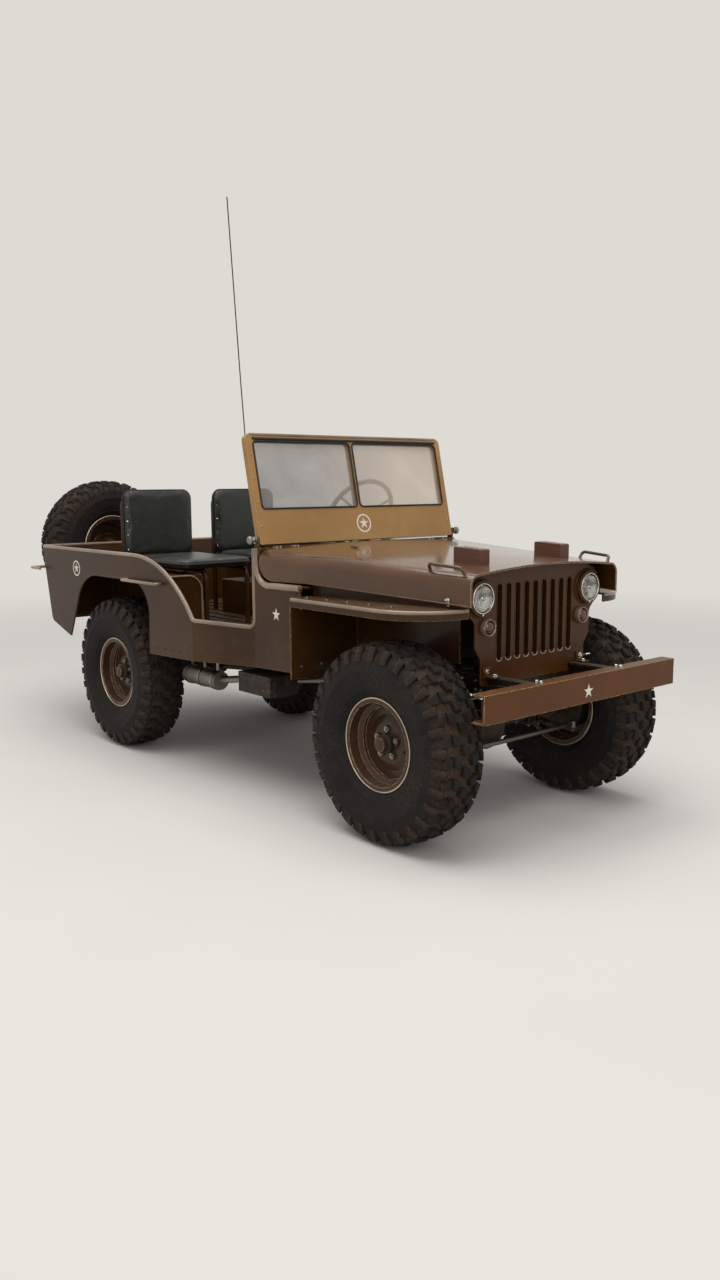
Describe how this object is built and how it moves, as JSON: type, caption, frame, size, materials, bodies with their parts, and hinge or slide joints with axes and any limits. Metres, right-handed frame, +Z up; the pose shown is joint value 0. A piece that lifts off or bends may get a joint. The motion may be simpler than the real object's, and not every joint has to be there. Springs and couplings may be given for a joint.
{
  "type": "small-scale army 4x4 car",
  "caption": "Open-topped small-scale army field car with a folding windshield, flat fenders, slotted grille, rear spare wheel, deep-dish steel wheels and a whip antenna.",
  "frame": {"origin": "on the ground, below the middle of the overall length and width", "axes": "+X forward, +Y to the car's left, +Z up"},
  "size_m": [2.78, 1.096, 2.3903],
  "materials": {
    "olive_body": "satin olive drab paint, faded and chipped at the edges",
    "tan_panel": "satin tan paint",
    "dark_paint": "satin dark paint",
    "tyre": "matt rubber",
    "rim_paint": "satin paint on the steel wheels",
    "steel": "bare steel",
    "cast": "rough casting",
    "vinyl": "dark green vinyl",
    "wood": "oiled wood",
    "pane": "hazy glass",
    "lamp_chrome": "polished",
    "lamp_glass": "clear glass",
    "amber": "gloss",
    "red_lens": "gloss",
    "black_plastic": "matt"
  },
  "bodies": {
    "chassis": {"frame": "dark_paint", "spring_hangers": "dark_paint", "side_boxes": "dark_paint", "front_bumper": "olive_body", "tow_hitch": "dark_paint", "front_springs": "steel", "rear_springs": "steel", "front_axle": "cast", "rear_axle": "cast", "steering_box": "cast", "steering_column": "dark_paint", "body_sides": "olive_body", "rear_panel": "olive_body", "wheel_wells": "olive_body", "floor_panel": "olive_body", "cowl": "olive_body", "grille": "olive_body", "headlamp_shells": "lamp_chrome", "headlamp_lenses": "lamp_glass", "marker_lamps": "amber", "tail_lamps": "red_lens", "fender_left": "olive_body", "fender_right": "olive_body", "radiator": "dark_paint", "engine": "cast", "gearbox": "cast", "propeller_shafts": "steel", "exhaust": "steel", "fuel_tank": "olive_body", "seat_frames": "dark_paint", "seat_cushions": "vinyl", "seat_backs": "vinyl", "pedals_and_levers": "steel", "body_handles": "steel", "antenna": "steel", "spare_bracket": "olive_body", "spare_tyre": "tyre", "spare_wheel": "rim_paint"},
    "hood": {"hood": "olive_body", "hood_blocks": "wood"},
    "windshield": {"windshield_frame": "tan_panel", "windshield_glass": "pane"},
    "steering_wheel": {"steering_wheel": "black_plastic"},
    "pitman": {"pitman_arm": "steel"},
    "drag_link": {"drag_link": "steel"},
    "tie_rod": {"tie_rod": "steel"},
    "knuckle_left": {"knuckle_left": "cast"},
    "knuckle_right": {"knuckle_right": "cast"},
    "front_left_wheel": {"tyre_front_left": "tyre", "wheel_front_left": "rim_paint", "hub_front_left": "cast"},
    "front_right_wheel": {"tyre_front_right": "tyre", "wheel_front_right": "rim_paint", "hub_front_right": "cast"},
    "rear_left_wheel": {"tyre_rear_left": "tyre", "wheel_rear_left": "rim_paint", "hub_rear_left": "cast"},
    "rear_right_wheel": {"tyre_rear_right": "tyre", "wheel_rear_right": "rim_paint", "hub_rear_right": "cast"}
  },
  "joints": [
    {"name": "steer_left", "type": "hinge", "parent": "chassis", "child": "knuckle_left", "pos_m": [1.012, 0.29, 0.3], "axis": [0, 0, 1], "range_deg": [-24, 24]},
    {"name": "steer_right", "type": "hinge", "parent": "chassis", "child": "knuckle_right", "pos_m": [1.012, -0.29, 0.3], "axis": [0, 0, 1], "range_deg": [-24, 24]},
    {"name": "tie_rod_end", "type": "hinge", "parent": "knuckle_left", "child": "tie_rod", "pos_m": [1.117, 0.29, 0.26], "axis": [0, 0, 1], "range_deg": [-24, 24]},
    {"name": "pitman_turn", "type": "hinge", "parent": "chassis", "child": "pitman", "pos_m": [1.012, 0.14, 0.4], "axis": [0, 0, 1], "range_deg": [-24, 24]},
    {"name": "drag_link_end", "type": "hinge", "parent": "pitman", "child": "drag_link", "pos_m": [1.082, 0.14, 0.404], "axis": [0, 0, 1], "range_deg": [-24, 24]},
    {"name": "steering_wheel_turn", "type": "hinge", "parent": "chassis", "child": "steering_wheel", "pos_m": [0.11, 0.24, 0.93], "axis": [-0.8692, 0.1008, 0.484], "range_deg": [-144, 144]},
    {"name": "hood_hinge", "type": "hinge", "parent": "chassis", "child": "hood", "pos_m": [0.414, 0, 0.841], "axis": [0, -1, 0], "range_deg": [0, 70]},
    {"name": "windshield_fold", "type": "hinge", "parent": "chassis", "child": "windshield", "pos_m": [0.396, 0, 0.865], "axis": [0, -1, 0], "range_deg": [-96, 0]},
    {"name": "front_left_spin", "type": "hinge", "parent": "knuckle_left", "child": "front_left_wheel", "pos_m": [1.012, 0.414, 0.3], "axis": [0, 1, 0], "continuous": true},
    {"name": "front_right_spin", "type": "hinge", "parent": "knuckle_right", "child": "front_right_wheel", "pos_m": [1.012, -0.414, 0.3], "axis": [0, 1, 0], "continuous": true},
    {"name": "rear_left_spin", "type": "hinge", "parent": "chassis", "child": "rear_left_wheel", "pos_m": [-0.565, 0.414, 0.3], "axis": [0, 1, 0], "continuous": true},
    {"name": "rear_right_spin", "type": "hinge", "parent": "chassis", "child": "rear_right_wheel", "pos_m": [-0.565, -0.414, 0.3], "axis": [0, 1, 0], "continuous": true}
  ],
  "couplings": [
    {"joint": "steer_right", "follows": "steer_left", "ratio": 1},
    {"joint": "tie_rod_end", "follows": "steer_left", "ratio": -1},
    {"joint": "pitman_turn", "follows": "steer_left", "ratio": 1},
    {"joint": "drag_link_end", "follows": "steer_left", "ratio": -1},
    {"joint": "steering_wheel_turn", "follows": "steer_left", "ratio": 6}
  ]
}
